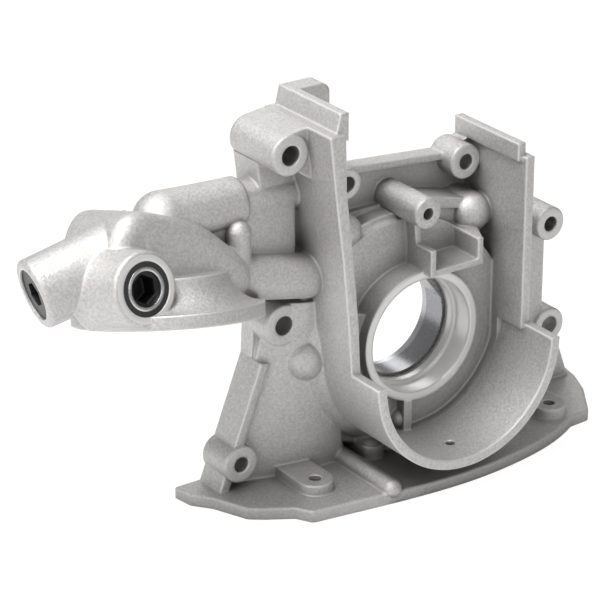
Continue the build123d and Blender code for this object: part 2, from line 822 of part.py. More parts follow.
# The casting
with BuildPart() as pump_housing:
    # Plate that bolts to the block, recessed between its top rib and the drum
    prism(plate_outline, plate_front_y, block_face_y)
    prism(pocket_outline, plate_front_y, plate_front_y + pocket_depth, Mode.SUBTRACT)

    # Round pump drum, belt floor and the stepped floor beside the right wall
    with BuildSketch(front_plane(belt_floor_y)) as drum_front:
        Circle(guard_outer)
    with BuildSketch(front_plane(drum_back_y)) as drum_back:
        with Locations((ring_x, 0)):
            Circle(cover_radius)
    loft([drum_front.sketch.face(), drum_back.sketch.face()])
    boss(ring_x, 0, drum_back_y, block_face_y, cover_radius)
    prism(deep_floor_outline, belt_floor_y, deep_floor_y, Mode.SUBTRACT)
    prism(side_floor_outline, side_floor_y, block_face_y)

    # Shoulder that slopes from the left edge of the plate up to the drum
    shoulder = []
    for z, front in ((sump_face_z, shoulder_foot_front), (shoulder_top_z, shoulder_top_front)):
        with BuildSketch(Plane.XY.offset(z)) as section:
            with BuildLine() as shoulder_line:
                Spline(*front)
                Polyline(front[-1], (front[-1][0], block_face_y), (front[0][0], block_face_y), front[0])
            make_face(shoulder_line.edges())
        shoulder.append(section.sketch.face())
    loft(shoulder)

    # Raised lip along the left edge of the plate
    prism(lip_outline, lip_front_y, block_face_y)

    # Sump flange with its tapped pads and round-backed ribs
    with BuildSketch(Plane.XY.offset(sump_face_z)) as flange:
        with BuildLine() as flange_line:
            Polyline(*sump_right, *sump_left)
            Spline(sump_left[-1], *sump_front, sump_right[0])
        make_face(flange_line.edges())
        inner = flange.vertices().sort_by(Axis.Y)[:-2]
        fillet(inner, corner_round)
    flange_plate = extrude(flange.sketch, amount=sump_flange_thickness, mode=Mode.PRIVATE)
    flange_rim = flange_plate.edges().group_by(Axis.Z)[-1].sort_by(Axis.Y)[:-1]
    add(flange_plate.fillet(rim_round, flange_rim))
    for x in (left_pad_x, right_pad_x):
        with BuildSketch(Plane.XY.offset(sump_flange_top)):
            with Locations((x, pad_hole_y)):
                Circle(sump_pad_radius)
            with Locations((x, (pad_hole_y + plate_front_y) / 2)):
                Rectangle(2 * sump_pad_radius, plate_front_y - pad_hole_y)
        extrude(amount=sump_pad_height)
    for x, top_z, radius, front_y, back_y in sump_ribs:
        with BuildSketch(front_plane(back_y)):
            with Locations((x, top_z - radius)):
                Circle(radius)
            with Locations((x, (top_z - radius + sump_face_z + 1.0) / 2)):
                Rectangle(2 * radius, top_z - radius - sump_face_z - 1.0)
        extrude(amount=back_y - front_y)
        with Locations((x, front_y, top_z - radius)):
            Cylinder(radius, 2 * (top_z - radius - sump_flange_top))
            Sphere(radius)

    # Belt guard: a half ring under the crank and a wall on each side
    with BuildSketch(front_plane(belt_floor_y)):
        Circle(guard_outer)
        Circle(guard_radius, mode=Mode.SUBTRACT)
        with Locations((0, guard_outer)):
            Rectangle(4 * guard_outer, 2 * guard_outer, mode=Mode.SUBTRACT)
    extrude(amount=belt_floor_y - arc_rim_y)
    prism(right_wall_outline, side_rim_y, block_face_y)
    prism(left_wall_outline, side_rim_y, block_face_y)

    # Tab on top of the right wall, and on the left the rail with its upstand across the back
    prism(right_tab_outline, tab_front_y, block_face_y)
    prism(rail_outline, rail_front_y, block_face_y)
    with BuildSketch(front_plane(block_face_y)) as upstand:
        outline(upstand_outline)
        fillet(upstand.vertices().group_by(Axis.Y)[-1].sort_by(Axis.X)[-1], upstand_round)
    extrude(upstand.sketch, amount=block_face_y - upstand_front_y)

    # Bosses for the block bolts, and the webs round the long upper one
    for x, z, front_y, radius, hole in block_bolts:
        boss(x, z, front_y, block_face_y, radius, rim=rim_round)
    prism(upper_web_outline, web_front_y, block_face_y)
    prism(lower_web_outline, return_tube_y - return_tube_radius + 2.0, block_face_y)

    # Long tapped boss in the middle, with the channel bracket and webs below it
    boss(stud_x, stud_z, stud_front_y, block_face_y, stud_radius, rim=rim_round)
    prism(tray_outline, tray_front_y, block_face_y)
    with BuildSketch(Plane.XY.offset(tray_bottom_z + tray_wall)):
        outline(tray_flare_outline)
    extrude(amount=tray_height - tray_wall)
    prism(stud_web_outline, belt_floor_y, block_face_y)
    prism(stud_ridge_outline, side_floor_y - 2.0, block_face_y)

    # Rounded bulges in the floor, over the oil passages
    for x, z, front_y, radius in floor_domes:
        boss(x, z, front_y + radius, block_face_y, radius)
        with Locations((x, front_y + radius, z)):
            Sphere(radius)

    # Drain web under the seal boss
    prism(drain_web_outline, drain_web_front_y, belt_floor_y)
    with Locations((drain_nub_x, belt_floor_y, drain_nub_z)):
        Sphere(drain_nub_radius)

    # Filter head: round flange, base drum and the cast block above them
    round_bar(head_point(0, 0, 0), head_point(0, 0, filter_flange_thickness), filter_flange_radius)
    with BuildSketch(Plane(origin=filter_centre, x_dir=head_left, z_dir=head_front)) as bell:
        with BuildLine() as bell_line:
            Polyline((0, 0), (filter_bell_foot, 0), (filter_bell_foot, -filter_flange_thickness))
            ThreePointArc(
                (filter_bell_foot, -filter_flange_thickness),
                (filter_bell_waist, -filter_bell_step),
                (filter_bell_top, -filter_bell_height),
            )
            Polyline((filter_bell_top, -filter_bell_height), (0, -filter_bell_height), (0, 0))
        make_face(bell_line.edges())
    revolve(bell.sketch, axis=Axis(filter_centre, filter_axis))
    head_back = Plane(origin=head_point(0, head_rear, 0), x_dir=head_left, z_dir=head_front)
    with BuildSketch(head_back) as section:
        with BuildLine() as head_line:
            Spline(*[(left, -height) for left, height in head_profile], periodic=True)
        make_face(head_line.edges())
    block = extrude(section.sketch, amount=head_front_reach - head_rear, mode=Mode.PRIVATE)
    add(block.fillet(head_round, block.edges().filter_by(GeomType.BSPLINE)))
    side_foot = side_point(side_boss_foot)
    side_face = side_point(side_plug_face)
    rimmed_bar(side_foot, side_face, side_boss_radius, side_boss_foot_radius, head_rim_round)
    bypass_roof_point = bypass_point(bypass_end + bypass_roof)
    round_bar(bypass_point(bypass_boss_foot), bypass_roof_point, bypass_boss_radius)
    relief_foot = relief_point(relief_boss_length)
    rimmed_bar(relief_foot, relief_face_centre, relief_boss_radius, relief_boss_foot_radius, head_rim_round)

    # Feed and return tubes between the head and the cover
    round_bar(feed_tube_start, feed_tube_end, tube_radius)
    round_bar(return_tube_start, return_tube_end, return_tube_radius)
    step_centre = Vector(return_step_x, return_tube_y, return_tube_z)
    rimmed_bar(return_tube_end, step_centre, return_step_radius, return_root_radius, head_rim_round)
    prism(arm_outline, arm_front_y, arm_back_y)
    round_bar(nub_foot, nub_foot + Vector(0, 0, nub_height), nub_radius)
    with Locations(nub_foot + Vector(0, 0, nub_height)):
        Sphere(nub_radius)
    with Locations(feed_tube_start):
        Sphere(tube_radius)
    with Locations(return_tube_end):
        Sphere(return_root_radius)
    boss(return_port_x, return_tube_z, return_tube_y, block_face_y, return_tube_radius)

    # Room for the filter: nothing of the head reaches below its face
    round_bar(head_point(0, 0, -filter_room), filter_centre, filter_room_radius, Mode.SUBTRACT)

    # Walls round the suction bore, the delivery slot and the feed port
    round_bar(suction_foot, suction_head, suction_bore_radius + passage_wall)
    delivery_slot(port_floor_y - port_floor, passage_radius + passage_wall)
    boss(*delivery_end, feed_tube_start.Y, block_face_y, tube_radius)

    # Seal boss and its seat
    boss(0, 0, 0, chamber_floor_y, seal_boss_radius)
    boss(0, 0, tray_front_y - 1.0, seal_seat_depth, seal_seat_radius, Mode.SUBTRACT)
    boss(0, 0, 0, block_face_y, seal_stop_radius, Mode.SUBTRACT)

    # Gear chamber, hub bearing and cover recess
    hub_front_y = chamber_floor_y - drive_hub_length
    boss(0, 0, hub_front_y, chamber_floor_y, drive_hub_radius + hub_clearance, Mode.SUBTRACT)
    boss(ring_x, 0, chamber_floor_y, cover_face_y, chamber_radius, Mode.SUBTRACT)
    boss(ring_x, 0, cover_face_y, block_face_y, cover_radius + cover_recess_clearance, Mode.SUBTRACT)

    # Crescent between the two gears
    with BuildSketch(front_plane(cover_face_y)):
        with Locations((ring_x, 0)):
            Circle(ring_tip_radius - crescent_clearance)
        Circle(drive_tip_radius + crescent_clearance, mode=Mode.SUBTRACT)
        with Locations((crescent_end_x + ring_outer_radius, 0)):
            Rectangle(2 * ring_outer_radius, 2 * ring_outer_radius, mode=Mode.SUBTRACT)
    extrude(amount=chamber_depth)

    # Kidney ports: suction below the crank axis, delivery above it
    for start, end in ((port_start_angle, port_end_angle), (-port_end_angle, -port_start_angle)):
        with BuildSketch(front_plane(chamber_floor_y)):
            Circle(port_outer_radius)
            Circle(port_inner_radius, mode=Mode.SUBTRACT)
            sector(port_outer_radius, start, end)
        extrude(amount=port_depth, mode=Mode.SUBTRACT)

    # Channels under the ring gear's rim, from the kidney ports to the suction and delivery passages
    for start, end in (suction_channel_angles, delivery_channel_angles):
        channel = CenterArc((ring_x, 0), channel_radius, start, end - start, mode=Mode.PRIVATE)
        with BuildSketch(front_plane(chamber_floor_y)):
            SlotArc(channel, channel_width)
        extrude(amount=port_depth, mode=Mode.SUBTRACT)

    # Suction port in the sump face and its two tapped holes
    suction_step = suction_foot + Vector(0, 0, suction_spigot_depth)
    round_bar(suction_foot, suction_step, suction_spigot_radius, Mode.SUBTRACT)
    round_bar(suction_foot, suction_head, suction_bore_radius, Mode.SUBTRACT)
    for side in (-1, 1):
        hole_x = ring_x + side * suction_bolt_spacing / 2
        hole_foot = Vector(hole_x, suction_y, sump_face_z)
        hole_end = hole_foot + Vector(0, 0, sump_flange_thickness)
        round_bar(hole_foot, hole_end, tapped_hole_radius, Mode.SUBTRACT)

    # Delivery slot, open to the block face, and the feed passage to the filter groove
    delivery_slot(port_floor_y, passage_radius, Mode.SUBTRACT)
    boss(*delivery_end, feed_tube_start.Y, block_face_y, passage_radius, Mode.SUBTRACT)
    feed_run = feed_tube_end - feed_tube_start
    feed_start_left = (feed_tube_start - filter_centre).dot(head_left)
    feed_share = (feed_drop_left - feed_start_left) / feed_run.dot(head_left)
    feed_drop = feed_tube_start + feed_run * feed_share
    round_bar(feed_tube_start, feed_drop, passage_radius, Mode.SUBTRACT)
    feed_foot = feed_drop - filter_axis * (feed_drop - filter_centre).dot(filter_axis)
    round_bar(feed_drop, feed_foot, passage_radius, Mode.SUBTRACT)

    # Return port in the block face, its passage and the bore down to the filter thread
    boss(return_port_x, return_tube_z, return_tube_y, block_face_y, passage_radius, Mode.SUBTRACT)
    round_bar(return_tube_start, return_tube_end, passage_radius, Mode.SUBTRACT)
    round_bar(head_point(0, 0, 0), head_point(0, 0, return_bore_height), passage_radius, Mode.SUBTRACT)
    filter_thread_end = head_point(0, 0, filter_thread_depth)
    round_bar(filter_centre, filter_thread_end, filter_thread_radius, Mode.SUBTRACT)

    # Filter groove, round the central thread boss
    with BuildSketch(Plane(origin=filter_centre, x_dir=head_left, z_dir=filter_axis)):
        Circle(filter_groove_outer)
        Circle(filter_groove_inner, mode=Mode.SUBTRACT)
    extrude(amount=filter_groove_depth, mode=Mode.SUBTRACT)

    # Bypass valve bore and the cross drilling from it to the central bore
    round_bar(bypass_point(0), bypass_point(bypass_end), bypass_bore_radius, Mode.SUBTRACT)
    round_bar(
        head_point(0, cross_drill_mouth - bypass_roof, cross_drill_height),
        head_point(0, 0, cross_drill_height),
        cross_drill_radius,
        Mode.SUBTRACT,
    )

    # Relief valve: collar seat, plug thread, piston bore and its oil feed
    for depth, radius in (
        (relief_washer_back, relief_collar_radius + slide_clearance),
        (relief_plug_end, relief_plug_radius),
        (relief_bore_end, relief_bore_radius),
        (relief_feed_end, relief_feed_radius),
    ):
        round_bar(relief_point(0), relief_point(depth), radius, Mode.SUBTRACT)

    # Side plug bore with its seal seat and the drilling behind it
    side_seal_seat = side_point(side_plug_face - side_seal_thickness)
    round_bar(side_seal_seat, side_point(side_plug_face), side_seal_radius, Mode.SUBTRACT)
    round_bar(side_point(side_plug_back), side_point(side_plug_face), side_plug_radius, Mode.SUBTRACT)
    side_drill_end = head_point(0, 0, side_plug_height)
    round_bar(side_point(side_plug_back), side_drill_end, side_passage_radius, Mode.SUBTRACT)

    # Bolt holes to the block, the tapped boss, sump flange pads and cover fixings
    for x, z, front_y, radius, hole in block_bolts:
        boss(x, z, front_y, block_face_y, hole, Mode.SUBTRACT)
    boss(stud_x, stud_z, stud_front_y, stud_front_y + stud_hole_depth, stud_hole_radius, Mode.SUBTRACT)
    pad_top_z = sump_flange_top + sump_pad_height
    for x in (left_pad_x, right_pad_x):
        pad_hole_top = Vector(x, pad_hole_y, pad_top_z)
        round_bar(pad_hole_top, Vector(x, pad_hole_y, sump_face_z), sump_hole_radius, Mode.SUBTRACT)
    guard_hole_head = guard_hole_foot + Vector(0, 0, 2 * guard_thickness)
    round_bar(guard_hole_foot, guard_hole_head, guard_hole_radius, Mode.SUBTRACT)
    with Locations(Plane(origin=(ring_x, cover_face_y, 0), x_dir=(1, 0, 0), z_dir=(0, 1, 0))):
        with PolarLocations(cover_screw_circle, cover_screw_count):
            Hole(screw_radius, screw_length)
        for turn in dowel_places:
            with PolarLocations(cover_screw_circle, 1, start_angle=turn):
                Hole(dowel_radius, dowel_length)

# Names and files
pump_housing.part.label = "pump_housing"
export_step(pump_housing.part, "parts/pump_housing.step")
drive_gear.part.label = "drive_gear"
export_step(drive_gear.part, "parts/drive_gear.step")
ring_gear.part.label = "ring_gear"
export_step(ring_gear.part, "parts/ring_gear.step")
pump_cover.part.label = "pump_cover"
export_step(pump_cover.part, "parts/pump_cover.step")
cover_screws.part.label = "cover_screws"
export_step(cover_screws.part, "parts/cover_screws.step")
cover_dowels.part.label = "cover_dowels"
export_step(cover_dowels.part, "parts/cover_dowels.step")
relief_piston.part.label = "relief_piston"
export_step(relief_piston.part, "parts/relief_piston.step")
relief_spring.part.label = "relief_spring"
export_step(relief_spring.part, "parts/relief_spring.step")
relief_plug.part.label = "relief_plug"
export_step(relief_plug.part, "parts/relief_plug.step")
relief_washer.part.label = "relief_washer"
export_step(relief_washer.part, "parts/relief_washer.step")
side_plug.part.label = "side_plug"
export_step(side_plug.part, "parts/side_plug.step")
side_plug_seal.part.label = "side_plug_seal"
export_step(side_plug_seal.part, "parts/side_plug_seal.step")
bypass_seat.part.label = "bypass_seat"
export_step(bypass_seat.part, "parts/bypass_seat.step")
bypass_disc.part.label = "bypass_disc"
export_step(bypass_disc.part, "parts/bypass_disc.step")
bypass_spring.part.label = "bypass_spring"
export_step(bypass_spring.part, "parts/bypass_spring.step")
gallery_ball.part.label = "gallery_ball"
export_step(gallery_ball.part, "parts/gallery_ball.step")
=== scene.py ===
import json
import math

import bmesh
import bpy
import numpy as np
from mathutils import Matrix, Vector


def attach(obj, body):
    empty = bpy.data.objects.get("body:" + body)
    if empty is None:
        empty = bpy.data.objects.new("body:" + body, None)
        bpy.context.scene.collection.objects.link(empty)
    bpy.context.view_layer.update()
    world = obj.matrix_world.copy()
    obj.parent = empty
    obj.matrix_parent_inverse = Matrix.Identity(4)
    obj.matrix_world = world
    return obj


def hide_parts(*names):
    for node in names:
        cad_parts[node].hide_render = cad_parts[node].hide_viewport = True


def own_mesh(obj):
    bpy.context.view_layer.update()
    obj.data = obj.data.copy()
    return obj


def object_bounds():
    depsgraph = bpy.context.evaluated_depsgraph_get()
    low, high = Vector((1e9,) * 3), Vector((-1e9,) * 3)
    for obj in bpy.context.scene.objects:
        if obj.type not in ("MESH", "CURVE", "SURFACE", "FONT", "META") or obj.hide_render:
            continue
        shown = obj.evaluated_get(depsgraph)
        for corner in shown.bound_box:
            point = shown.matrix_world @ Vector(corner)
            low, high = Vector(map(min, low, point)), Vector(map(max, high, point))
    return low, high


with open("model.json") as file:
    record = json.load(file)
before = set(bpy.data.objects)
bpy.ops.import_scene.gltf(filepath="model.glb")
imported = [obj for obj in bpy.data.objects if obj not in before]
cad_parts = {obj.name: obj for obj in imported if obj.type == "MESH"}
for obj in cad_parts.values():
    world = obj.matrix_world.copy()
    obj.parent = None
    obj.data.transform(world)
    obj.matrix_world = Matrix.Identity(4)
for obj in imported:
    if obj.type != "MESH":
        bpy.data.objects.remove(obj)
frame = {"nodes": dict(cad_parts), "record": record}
start_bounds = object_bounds()

# Photograph: the camera was solved from the seal boss, the filter flange and the gasket plane
CAMERA_PLACE = Vector((-0.654352, -0.852197, 0.494421))
CAMERA_AZIMUTH = math.radians(-34.850)
CAMERA_ELEVATION = math.radians(24.021)
SENSOR_WIDTH = 36.0
FOCAL_PIXELS = 2875.81
FRAME_PIXELS = 600.0

# Studio: white sky and floor, and softboxes by place, aim, width in metres and power in watts
SKY_STRENGTH = 0.36
FLOOR_REACH = 8.0
FLOOR_COLOUR = (0.85, 0.85, 0.85, 1.0)
FLOOR_GLOW = 1.10
FLOOR_WHITE = 0.86
LAMPS = {
    "top softbox": ((-0.50, 0.05, 1.05), (-0.04, 0.0, 0.0), 0.6, 14.5),
    "left softbox": ((-1.3, -0.15, 0.40), (-0.06, 0.0, 0.03), 0.9, 4.0),
    "front softbox": ((-0.10, -1.3, 0.60), (0.0, 0.0, 0.02), 0.5, 2.2),
    "back softbox": ((0.60, 1.0, 0.8), (-0.04, 0.0, 0.03), 0.6, 2.5),
}

# Finishes, in millimetres where they are lengths
MM = 0.001
FACE_DEPTH = 0.06
CAST_COLOUR = (0.640, 0.630, 0.618)
CAST_DARK = (0.500, 0.489, 0.477)
# Painted shade: a darker colour mixed in where ambient occlusion finds a recess, darkening corners as shade
# would
PAINTED_RECESS_SHADE = (0.300, 0.292, 0.284)
# Painted highlight: a lighter colour on rounded edges, standing in for the light they catch
PAINTED_EDGE_HIGHLIGHT = (0.74, 0.735, 0.725)
MACHINED_COLOUR = (0.76, 0.755, 0.745)
BOSS_FACE_SHARE = 0.35
# Painted shade: a near-black colour in the deep socket of the side plug
PAINTED_SOCKET_SHADE = (0.012, 0.012, 0.013)
STEEL_COLOUR = (0.58, 0.58, 0.59)
EDGE_RADIUS = 1.8
GRAIN_DEPTH = 0.34
THREAD_DEPTH = 0.30
THREAD_START = -0.3
THREAD_REACH = 0.1
THREAD_PITCH = 1.0
FILTER_PITCH = 1.5
EDGE_SAMPLES = 8
# Reach and samples of the ambient occlusion that places painted shade in recesses
RECESS_REACH = 22.0
RECESS_SAMPLES = 12

# Machined faces of the casting: block, sump, filter and seal boss, and the seat of the crank seal
BACKWARD = (0.0, 1.0, 0.0)
UPWARD = (0.0, 0.0, 1.0)
BLOCK_FACE = (0.0, 30.0, 0.0)
SUMP_FACE = (0.0, 0.0, -57.5)
SEAL_FACE = (0.0, 0.0, 0.0)
SEAL_FACE_RADIUS = 29.0
SEAL_SEAT = (25.4, 0.1, 13.2)
FILTER_FACE_RADIUS = 40.0
BOSS_FACE_REACH = 2.6

# Tapped holes of the sump pads, open at the top of each pad
PAD_HOLES = ((-55.5, -3.0, -48.0), (67.0, -3.0, -48.0))
PAD_HOLE_RADIUS = 2.6
PAD_HOLE_DEPTH = 9.5

# The front boss of the filter head: its face, the way it faces and its radius
SIDE_FACE = (-139.540, -12.436, 60.536)
SIDE_AXIS = (0.11400, -0.95642, 0.26883)
SIDE_RADIUS = 14.3

# Belt pocket: the web that closes it in the solid, and what stands in front of the belt floor there
WEB_DEPTHS = (0.30, 5.02)
WEB_RADIUS = 46.06
SEAL_BOSS_RADIUS = 28.60
GUARD_RADIUS = 42.0
RIGHT_WALL_X = 40.3
LEFT_WALL_X = -42.09
LEFT_WALL_LEAN = 1 / 22
POCKET_MARGIN = 0.03
GUARD_MARGIN = 0.10
POCKET_SIDES = 180
TRAY_BOTTOM = ((0.3, 27.5), (27.0, 27.5), (27.0, 30.0), (0.3, 30.0))
TRAY_WALL = ((0.3, 27.5), (2.8, 27.5), (2.8, 39.1), (0.3, 39.1))
TRAY_FLARE = ((24.5, -5.0), (26.5, -5.0), (35.0, 12.0), (24.5, 12.0))
TRAY_FLARE_HEIGHTS = (27.5, 39.1)
DRAIN_WEB = ((-8.5, -44.0), (-4.5, -44.0), (-4.5, -26.0), (-8.5, -26.0))
DRAIN_NUB = (-8.0, 5.0, -37.0)
DRAIN_NUB_RADIUS = 4.0
SHARP_ANGLE = math.radians(24.0)
SAME_FACE = 0.7
PLACE_DIGITS = 7
CUSTOM_NORMAL = "custom_normal"

# Springs: fixed end, other end, mean coil radius, wire radius, turns and the joint's travel
RELIEF_AXIS = Vector((-0.965226, 0.100544, -0.241307))
RELIEF_FACE = Vector((-170.5, 18.8, 54.6))
BYPASS_AXIS = Vector((0.133963, 0.282923, 0.949741))
BYPASS_FOOT = Vector((-118.380, 29.128, 28.323))
SPRINGS = {
    "relief_spring": {
        "fixed": RELIEF_FACE - RELIEF_AXIS * 13.85,
        "loose": RELIEF_FACE - RELIEF_AXIS * 41.40,
        "coil": 4.35,
        "wire": 0.80,
        "turns": 7.5,
        "joint": "relief_piston_slide",
        "travel": 6.0,
    },
    "bypass_spring": {
        "fixed": BYPASS_FOOT + BYPASS_AXIS * 18.95,
        "loose": BYPASS_FOOT + BYPASS_AXIS * 10.90,
        "coil": 4.65,
        "wire": 0.50,
        "turns": 5.0,
        "joint": "bypass_disc_slide",
        "travel": 2.5,
    },
}
TURN_STEPS = 36
WIRE_SIDES = 10
CLOSED_TURNS = 0.9

mounts = {mount["name"]: mount for mount in frame["record"]["mounts"]}


class Value:
    """A socket of a material's node tree that takes part in Python expressions."""

    def __init__(self, tree, socket):
        self.tree = tree
        self.socket = socket

    def math(self, operation, *inputs):
        node = self.tree.nodes.new("ShaderNodeMath")
        node.operation = operation
        for slot, value in zip(node.inputs, inputs):
            connect(self.tree, value, slot)
        return Value(self.tree, node.outputs[0])

    def __add__(self, other):
        return self.math("ADD", self, other)

    def __radd__(self, other):
        return self.math("ADD", other, self)

    def __sub__(self, other):
        return self.math("SUBTRACT", self, other)

    def __rsub__(self, other):
        return self.math("SUBTRACT", other, self)

    def __mul__(self, other):
        return self.math("MULTIPLY", self, other)

    def __rmul__(self, other):
        return self.math("MULTIPLY", other, self)

    def __truediv__(self, other):
        return self.math("DIVIDE", self, other)

    def __lt__(self, other):
        return self.math("LESS_THAN", self, other)

    def __gt__(self, other):
        return self.math("GREATER_THAN", self, other)

    def __abs__(self):
        return self.math("ABSOLUTE", self)

    def either(self, other):
        return self.math("MAXIMUM", self, other)


def connect(tree, value, slot):
    """Link a Value to an input, or set the input to a number or colour."""
    if isinstance(value, Value):
        tree.links.new(value.socket, slot)
    elif slot.type == "RGBA" and len(value) == 3:
        slot.default_value = (*value, 1.0)
    else:
        slot.default_value = value


class Finish:
    """A material under construction, with Object coordinates in millimetres."""

    def __init__(self, name):
        self.material = bpy.data.materials.new(name)
        self.material.use_nodes = True
        self.tree = self.material.node_tree
        self.surface = self.tree.nodes["Principled BSDF"]
        metres = self.node("ShaderNodeTexCoord", output="Object")
        self.place = self.node("ShaderNodeVectorMath", {0: metres, "Scale": 1 / MM}, operation="SCALE")

    def node(self, kind, inputs=None, output=0, **settings):
        """Any node: its settings first, then the values or links of its sockets."""
        made = self.tree.nodes.new(kind)
        for name, value in settings.items():
            setattr(made, name, value)
        for name, value in (inputs or {}).items():
            connect(self.tree, value, made.inputs[name])
        return Value(self.tree, made.outputs[output])

    def noise(self, scale, detail=3.0, roughness=0.5):
        """Noise from 0 to 1, scale in cells per millimetre."""
        sockets = {"Vector": self.place, "Scale": scale, "Detail": detail, "Roughness": roughness}
        return self.node("ShaderNodeTexNoise", sockets)

    def smooth(self, value, low, high):
        """0 below low, 1 above high and a smooth step between."""
        sockets = {"Value": value, "From Min": low, "From Max": high}
        return self.node("ShaderNodeMapRange", sockets, interpolation_type="SMOOTHSTEP")

    def mix(self, factor, first, second):
        """Blend of two colours."""
        sockets = {"Factor": factor, 6: first, 7: second}
        return self.node("ShaderNodeMix", sockets, output=2, data_type="RGBA")

    def dot(self, first, second):
        """Dot product of two vectors."""
        sockets = {0: first, 1: second}
        return self.node("ShaderNodeVectorMath", sockets, output="Value", operation="DOT_PRODUCT")

    def along(self, point, axis):
        """Distance from a point along an axis, in millimetres."""
        offset = self.node("ShaderNodeVectorMath", {0: self.place, 1: point}, operation="SUBTRACT")
        return self.dot(offset, axis)

    def around(self, point, axis):
        """Distance from a line through a point, in millimetres."""
        offset = self.node("ShaderNodeVectorMath", {0: self.place, 1: point}, operation="SUBTRACT")
        cross = self.node("ShaderNodeVectorMath", {0: offset, 1: axis}, operation="CROSS_PRODUCT")
        return self.node("ShaderNodeVectorMath", {0: cross}, output="Value", operation="LENGTH")

    def round_face(self, point, axis, radius):
        """1 on the flat round face at a point, and 0 elsewhere."""
        return (abs(self.along(point, axis)) < FACE_DEPTH) * (self.around(point, axis) < radius)

    def bore(self, point, axis, radius, low, high):
        """1 on the wall of a bore of that radius between two distances along its axis."""
        reach = self.along(point, axis)
        return (self.around(point, axis) < radius) * (reach > low) * (reach < high)

    def thread(self, point, axis, radius, low, high, pitch):
        """Rings of a screw thread on the wall of a bore: a wave from 0 to 1, and 0 elsewhere."""
        turns = self.along(point, axis) / pitch
        wave = turns.math("PINGPONG", turns, 0.5) * 2
        return self.bore(point, axis, radius + THREAD_REACH, low, high) * wave

    def set(self, **sockets):
        """Values or links of the shader, by socket name with low lines for spaces."""
        for name, value in sockets.items():
            connect(self.tree, value, self.surface.inputs[name.replace("_", " ")])

    def open_air(self):
        """1 where the surface is open to the sky, and towards 0 deep in a corner; it places painted shade
        in recesses.
        """
        sockets = {"Distance": RECESS_REACH * MM}
        return self.node("ShaderNodeAmbientOcclusion", sockets, output="AO", samples=RECESS_SAMPLES)

    def edge(self, rounded):
        """How far the softly rounded direction leaves the true one: 0 on a flat, more at an edge."""
        true = self.node("ShaderNodeNewGeometry", output="Normal")
        return 1 - self.dot(true, rounded)

    def edge_normal(self):
        """The surface's direction with every edge and inner corner softly rounded."""
        return self.node("ShaderNodeBevel", {"Radius": EDGE_RADIUS * MM}, samples=EDGE_SAMPLES)

    def relief(self, height, depth, normal=None):
        """Bump of a depth in millimetres."""
        sockets = {"Height": height, "Distance": depth * MM, "Strength": 1.0}
        if normal is not None:
            sockets["Normal"] = normal
        return self.node("ShaderNodeBump", sockets)


def millimetres(mount):
    """Place of a mount, in millimetres."""
    return tuple(value / MM for value in mount["pos_m"])


def dress(node, material):
    """Give a CAD node one material."""
    mesh = frame["nodes"][node].data
    mesh.materials.clear()
    mesh.materials.append(material)


def cast_aluminium():
    """Die cast aluminium with its fine skin, bright machined faces and bores, painted highlights on its
    edges and painted shade in its recesses.
    """
    finish = Finish("cast aluminium")
    machined = abs(finish.along(BLOCK_FACE, BACKWARD)) < FACE_DEPTH
    machined = machined.either(abs(finish.along(SUMP_FACE, UPWARD)) < FACE_DEPTH)
    for name, mount in mounts.items():
        if name.startswith("block_bolt"):
            x, y, z = millimetres(mount)
            radius = mount["dims"]["r_mm"]
            front = (x, y - mount["dims"]["length_mm"], z)
            face = finish.round_face(front, BACKWARD, BOSS_FACE_REACH * radius)
            machined = machined.either(BOSS_FACE_SHARE * face)
    axis = tuple(mounts["filter_thread"]["axis"])
    filter_face = millimetres(mounts["filter_thread"])
    machined = machined.either(finish.round_face(filter_face, axis, FILTER_FACE_RADIUS))
    machined = machined.either(finish.round_face(SEAL_FACE, BACKWARD, SEAL_FACE_RADIUS))
    machined = machined.either(finish.bore(SEAL_FACE, BACKWARD, *SEAL_SEAT))
    machined = machined.either(finish.round_face(SIDE_FACE, SIDE_AXIS, SIDE_RADIUS))

    thread = 0.0
    for name, pitch in (("bracket_hole", THREAD_PITCH), ("filter_thread", FILTER_PITCH)):
        hole = mounts[name]
        radius, length = hole["dims"]["r_mm"], hole["dims"]["length_mm"]
        rings = finish.thread(millimetres(hole), tuple(hole["axis"]), radius, -length, THREAD_START, pitch)
        thread = rings + thread
    for place in PAD_HOLES:
        rings = finish.thread(place, UPWARD, PAD_HOLE_RADIUS, -PAD_HOLE_DEPTH, THREAD_START, THREAD_PITCH)
        thread = rings + thread

    rounded = finish.edge_normal()
    air = finish.open_air()
    grain = finish.noise(0.9, 6.0, 0.7)
    skin = finish.mix(finish.smooth(grain, 0.36, 0.64), CAST_DARK, CAST_COLOUR)
    # Painted highlight: the colour lightens where the rounded direction leaves the true one, on edges
    skin = finish.mix(finish.smooth(finish.edge(rounded), 0.01, 0.16), skin, PAINTED_EDGE_HIGHLIGHT)
    # Painted shade: the colour darkens in recesses and corners, placed by ambient occlusion
    skin = finish.mix(finish.smooth(air, 0.10, 0.80), PAINTED_RECESS_SHADE, skin)
    height = GRAIN_DEPTH * grain * (1 - 0.9 * machined) + THREAD_DEPTH * thread
    finish.set(
        Base_Color=finish.mix(machined, skin, MACHINED_COLOUR),
        Metallic=0.82 - 0.40 * machined,
        Roughness=0.54 + 0.20 * (grain - 0.5) - 0.20 * machined,
        Normal=finish.relief(height, 1.0, rounded),
    )
    return finish.material


def plain_metal(name, colour, roughness, metallic=1.0):
    """Bare or coated metal with a faint uneven polish."""
    finish = Finish(name)
    wear = finish.noise(0.8, 3.0)
    finish.set(Base_Color=colour, Metallic=metallic, Roughness=roughness + 0.12 * (wear - 0.5))
    return finish.material


